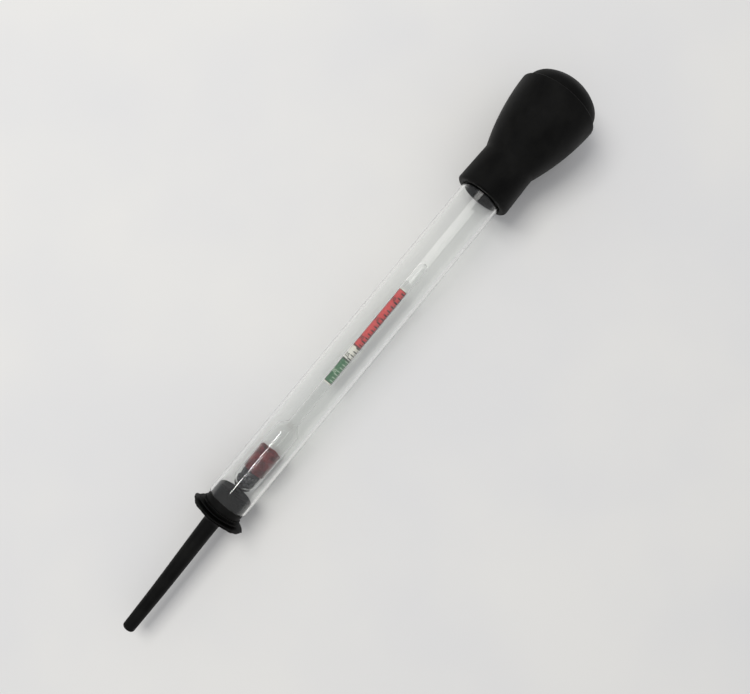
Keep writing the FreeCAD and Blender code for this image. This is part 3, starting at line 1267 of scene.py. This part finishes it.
@dataclass
class Float:
    """The weighted float: sealed glass, a rolled paper scale with numerals, shot and wax."""

    axis: Axis
    body_length: float = 31.9
    body_wall: float = 0.4
    stem_radius: float = 2.4
    stem_wall: float = 0.3
    shoulder_angle: float = 45.0
    shoulder_round: float = 2.2
    neck_round: float = 2.4
    roll_radius: float = 2.05
    paper_thickness: float = 0.07
    roll_step: float = 1.3
    overlap: float = 18.0
    font_size: float = 2.45
    numeral_weight: float = 0.035
    numeral_shift: float = 0.25
    numeral_edge: float = 0.25
    ink_lift: float = 0.012
    numerals: tuple[float, ...] = (1.10, 1.15, 1.20, 1.25, 1.30)
    wax_meniscus: float = 4.2
    wax_round: float = 0.5
    wax_rim: float = 0.1
    wax_lip: float = 0.985
    wax_edge: Ripple = Ripple(1.1, 3.2, 5.7)
    wax_dents: Ripple = Ripple(0.12, 2.2, 9.4)
    segments: int = 96
    glass: ClearGlass = field(default_factory=lambda: ClearGlass(
        "float_clear_glass", (0.99, 0.993, 0.99), smears=0.02, edge_shade=(0.80, 0.81, 0.80)))
    scale: PrintedScale = field(default_factory=lambda: PrintedScale("printed_scale_paper"))
    ink: Ink = field(default_factory=lambda: Ink("numeral_ink"))
    pale_ink: Ink = field(default_factory=lambda: Ink("numeral_pale_ink", (0.48, 0.60, 0.46)))
    lead: OldLead = field(default_factory=OldLead)
    wax: RedWax = field(default_factory=RedWax)

    def shoulder_run(self, rounding: float, neck: float, drop: float) -> float:
        """Measure the run of a shoulder: an arc, a straight cone and an arc the other way.

        Args:
            rounding: Radius of the first arc.
            neck: Radius of the second arc.
            drop: How much the radius falls over the shoulder.

        Returns:
            Its length along the axis.
        """
        angle = math.radians(self.shoulder_angle)
        cone = (drop - (rounding + neck) * (1 - math.cos(angle))) / math.sin(angle)
        return (rounding + neck) * math.sin(angle) + cone * math.cos(angle)

    def skin(self, span: Span, body_wall: float, stem_wall: float) -> Outline:
        """Draw the outside of the glass, or the inside when given the walls.

        Args:
            span: Where the CAD float lies.
            body_wall: Thickness to take off the body.
            stem_wall: Thickness to take off the stem.

        Returns:
            The outline, with both ends on the axis.
        """
        body, stem = span.radius - body_wall, self.stem_radius - stem_wall
        rounding, neck = self.shoulder_round - body_wall, self.neck_round + body_wall
        shoulder = span.start + self.body_length
        stem_start = shoulder + self.shoulder_run(rounding, neck, body - stem)
        outline = Outline(span.start + body_wall, 0.0)
        outline.turn((span.start + span.radius, 0.0), body, 178, 90, 18)
        outline.line(shoulder, body, 10)
        outline.turn((shoulder, body - rounding), rounding, 90, 90 - self.shoulder_angle, 7)
        outline.turn((stem_start, stem + neck), neck, 270 - self.shoulder_angle, 270, 9)
        outline.line(span.end - self.stem_radius, stem, 40)
        outline.turn((span.end - self.stem_radius, 0.0), stem, 90, 2, 9)
        return outline.line(span.end - stem_wall, 0.0)

    def build_glass(self, span: Span) -> Item:
        """Build the sealed glass, with its inner wall facing inwards.

        Args:
            span: Where the CAD float lies.

        Returns:
            The piece.
        """
        bm = bmesh.new()
        spin_outline(bm, self.skin(span, 0.0, 0.0), self.segments, closed=False)
        hollow = self.skin(span, self.body_wall, self.stem_wall)
        inner = spin_outline(bm, hollow, self.segments, closed=False)
        bmesh.ops.reverse_faces(bm, faces=inner)
        piece = Piece("float_envelope", Body.FLOAT, Slot.FLOAT, ("float_glass",))
        return piece.finish(bm, self.axis.matrix(span.rise), self.glass.material())

    def build_paper(self, rise: float) -> Item:
        """Roll the printed strip, with its ends overlapping underneath.

        Args:
            rise: Height of the float's centre line over the axis.

        Returns:
            The piece.
        """
        paper = self.axis.span("scale_paper")
        length = paper.end - paper.start
        turn = math.tau + math.radians(self.overlap)
        bm = bmesh.new()
        bmesh.ops.create_grid(bm, x_segments=96, y_segments=64, size=0.5, calc_uvs=True)
        print_map = bm.loops.layers.uv.verify()
        for face in bm.faces:
            for loop in face.loops:
                across, along = loop.vert.co.x, loop.vert.co.y + 0.5
                loop[print_map].uv = (across * turn * self.roll_radius, along * length)
        for vert in bm.verts:
            angle, along = vert.co.x * turn, vert.co.y + 0.5
            radius = self.roll_radius - self.paper_thickness * self.roll_step * (0.5 - vert.co.x)
            vert.co = on_roll(paper.start + along * length, radius, angle)
        bmesh.ops.recalc_face_normals(bm, faces=bm.faces[:])
        face_outwards(bm)
        bmesh.ops.solidify(bm, geom=bm.faces[:], thickness=self.paper_thickness)
        piece = Piece("scale_roll", Body.FLOAT, Slot.PAPER, ("scale_paper",))
        made = piece.finish(bm, self.axis.matrix(rise), self.scale.material())
        made.data.uv_layers[0].name = PRINT_MAP
        return made

    def build_numerals(self, rise: float, name: str, numbers: Sequence[float], ink: Ink) -> Item:
        """Lay numerals on the paper, left of the graduations: the hundredths of specific gravities.

        Args:
            rise: Height of the float's centre line over the axis.
            name: Name of the piece.
            numbers: The specific gravities.
            ink: The ink that they are printed in.

        Returns:
            The piece.
        """
        start = self.axis.span("scale_paper").start
        bm = bmesh.new()
        for number in numbers:
            text = bpy.data.curves.new("numeral", "FONT")
            text.body = f"{round(100 * number) % 100:02d}"
            text.size, text.offset, text.resolution_u = self.font_size, self.numeral_weight, 3
            holder = bpy.data.objects.new("numeral", text)
            flat = bpy.data.meshes.new_from_object(holder)
            bpy.data.objects.remove(holder)
            right = max(v.co.x for v in flat.vertices)
            along = self.scale.along(number) + self.numeral_shift
            flat.transform(Matrix.Translation((-right, along, 0.0)))
            bm.from_mesh(flat)
            bpy.data.meshes.remove(flat)
        bmesh.ops.triangulate(bm, faces=bm.faces[:])
        long_edges = [e for e in bm.edges if e.calc_length() > self.numeral_edge]
        bmesh.ops.subdivide_edges(bm, edges=long_edges, cuts=3)
        bmesh.ops.triangulate(bm, faces=bm.faces[:])
        ink_radius = self.roll_radius + self.ink_lift
        for vert in bm.verts:
            vert.co = on_roll(start + vert.co.y, ink_radius, vert.co.x / self.roll_radius)
        bmesh.ops.remove_doubles(bm, verts=bm.verts[:], dist=MERGE_DISTANCE)
        face_outwards(bm)
        return Piece(name, Body.FLOAT, Slot.PAPER).finish(bm, self.axis.matrix(rise), ink.material())

    def build_wax(self, rise: float) -> Item:
        """Build the wax: a plug that climbs the glass in a thin, uneven edge.

        Args:
            rise: Height of the float's centre line over the axis.

        Returns:
            The piece.
        """
        span = self.axis.span("sealing_wax")
        radius, top = span.radius, span.end - self.wax_meniscus
        bowl = (radius**2 + self.wax_meniscus**2) / (2 * self.wax_meniscus)
        edge = math.degrees(math.asin(radius / bowl))
        outline = Outline(span.start, 0.0)
        soft = self.wax_round
        outline.line(span.start, radius - soft, 8)
        outline.turn((span.start + soft, radius - soft), soft, 180, 90, 4)
        outline.line(span.end - self.wax_rim, radius, 22)
        outline.turn((top + bowl, 0.0), bowl, 180 - edge * self.wax_lip, 179.5, 20)
        outline.line(top, 0.0)
        bm = bmesh.new()
        spin_outline(bm, outline, self.segments, closed=False)
        reshape(bm, lambda place: self.run_down(span, top, place))
        piece = Piece("wax_plug", Body.FLOAT, Slot.WAX, ("sealing_wax",))
        return piece.finish(bm, self.axis.matrix(rise), self.wax.material())

    def run_down(self, span: Span, top: float, place: Vector) -> Vector:
        """Make the wax's upper edge uneven, never higher than the CAD's.

        Args:
            span: Where the CAD wax lies.
            top: Station of the bottom of its hollow.
            place: The vertex in millimetres.

        Returns:
            Its new place.
        """
        climb = max((place.x - top) / (span.end - top), 0.0)
        flat = Vector((0.0, place.y, place.z))
        sink = self.wax_edge.depth * climb**2 * (0.5 + 0.5 * self.wax_edge.at(flat))
        if climb > 0 and flat.length < span.radius - self.body_wall:
            sink += abs(self.wax_dents.depth * self.wax_dents.at(place)) * (1 - climb)
        return place - Vector((sink, 0.0, 0.0))

    def dress_shot(self) -> None:
        """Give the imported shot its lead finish."""
        shot = frame["nodes"]["lead_shot"]
        shot.data.materials.clear()
        shot.data.materials.append(self.lead.material())
        LOG.info("%s: kept from the CAD, rides float", shot.name)

    def build(self) -> None:
        """Build the whole float in its place."""
        span = self.axis.span("float_glass")
        self.build_glass(span)
        self.build_paper(span.rise)
        on_green = [n for n in self.numerals if n > self.scale.green_above]
        on_pale = [n for n in self.numerals if n not in on_green]
        self.build_numerals(span.rise, "scale_numerals", on_pale, self.ink)
        self.build_numerals(span.rise, "scale_numerals_pale", on_green, self.pale_ink)
        self.build_wax(span.rise)
        self.dress_shot()


class LampUse(Enum):
    """What a lamp is for: to light things, or to be mirrored in them."""

    FILL = "fill"
    GLINT = "glint"


@dataclass(frozen=True)
class Lamp:
    """A soft rectangular lamp, with its place and sides in metres and its power in watts."""

    name: str
    place: tuple[float, float, float]
    size: Point
    power: float
    colour: Colour
    use: LampUse


@dataclass
class Studio:
    """A plain pale table, soft light and the camera."""

    camera_place: Vector = field(default_factory=lambda: Vector((-0.00419, -0.01718, 0.34052)))
    camera_turn: tuple[float, float, float] = (3.017, 0.021, -50.31)
    lens: float = 36.48
    sensor: float = 36.0
    clip: Point = (0.01, 20.0)
    floor_size: float = 6.0
    room_colour: Colour = (0.97, 0.975, 1.0)
    room_light: float = 0.62
    mirrored_room: float = 0.62
    lamps: tuple[Lamp, ...] = (
        Lamp("key", (0.05, 0.55, 1.15), (0.62, 0.62), 8.7, (1.0, 0.985, 0.955), LampUse.FILL),
        Lamp("strip", (-0.395, 0.33, 1.2), (0.26, 0.045), 1.2, (1.0, 1.0, 1.0), LampUse.GLINT),
        Lamp("panel", (0.33, 0.22, 1.2), (0.40, 0.6), 1.6, (1.0, 0.99, 0.96), LampUse.GLINT),
    )
    table: PaleTable = field(default_factory=PaleTable)

    def build_floor(self) -> None:
        """Lay the table under the object."""
        bm = bmesh.new()
        bmesh.ops.create_grid(bm, x_segments=8, y_segments=8, size=self.floor_size / 2)
        mesh = bpy.data.meshes.new("table_top")
        bm.to_mesh(mesh)
        bm.free()
        mesh.materials.append(self.table.material())
        put_in_scene("table_top", mesh)

    @staticmethod
    def hang(lamp: Lamp) -> None:
        """Hang a lamp so that it looks at the object.

        Args:
            lamp: The lamp.
        """
        data = bpy.data.lights.new(lamp.name, "AREA")
        data.shape, data.size, data.size_y = "RECTANGLE", lamp.size[0], lamp.size[1]
        data.energy, data.color = lamp.power, lamp.colour
        hung = put_in_scene(lamp.name, data)
        hung.location = lamp.place
        away = hung.location.normalized()
        across = away.cross(Vector((1.0, 0.0, 0.0))).normalized()
        hung.rotation_euler = Matrix((across.cross(away), across, away)).transposed().to_euler()
        hung.visible_diffuse = lamp.use is LampUse.FILL
        hung.visible_glossy = hung.visible_transmission = lamp.use is LampUse.GLINT

    def build_light(self) -> None:
        """Light the table from above and one side, in a pale room that is dimmer where it is reflected."""
        for lamp in self.lamps:
            self.hang(lamp)
        world = bpy.data.worlds.new("pale_room")
        world.use_nodes = True
        graph = Graph(world.node_tree)
        background = world.node_tree.nodes["Background"]
        rays = graph.node("LightPath")
        mirrored = graph.math("MAXIMUM", rays.outputs["Is Glossy Ray"], rays.outputs["Is Transmission Ray"])
        dimming = graph.math("SUBTRACT", 1.0, graph.times(mirrored, 1.0 - self.mirrored_room))
        background.inputs["Color"].default_value = (*self.room_colour, 1.0)
        graph.feed(graph.times(dimming, self.room_light), background.inputs["Strength"])
        bpy.context.scene.world = world
        bpy.context.scene.view_settings.view_transform = "Standard"

    def build_camera(self) -> None:
        """Set the camera that looks down at the object."""
        data = bpy.data.cameras.new("camera")
        data.lens, data.sensor_width = self.lens, self.sensor
        data.clip_start, data.clip_end = self.clip
        camera = put_in_scene("camera", data)
        camera.location = self.camera_place
        camera.rotation_euler = Euler([math.radians(a) for a in self.camera_turn])
        bpy.context.scene.camera = camera

    def build(self) -> None:
        """Build the table, the light and the camera."""
        self.build_floor()
        self.build_light()
        self.build_camera()


def main() -> None:
    """Build every sub-assembly in order, then the studio."""
    logging.basicConfig(level=logging.INFO, format="%(name)s: %(message)s")
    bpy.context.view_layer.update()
    axis = Axis.from_record(frame["record"])
    SuctionBulb(axis).build()
    GlassBarrel(axis).build()
    NozzleStopper(axis).build()
    Float(axis).build()
    Studio().build()


if __name__ == "__main__":
    main()
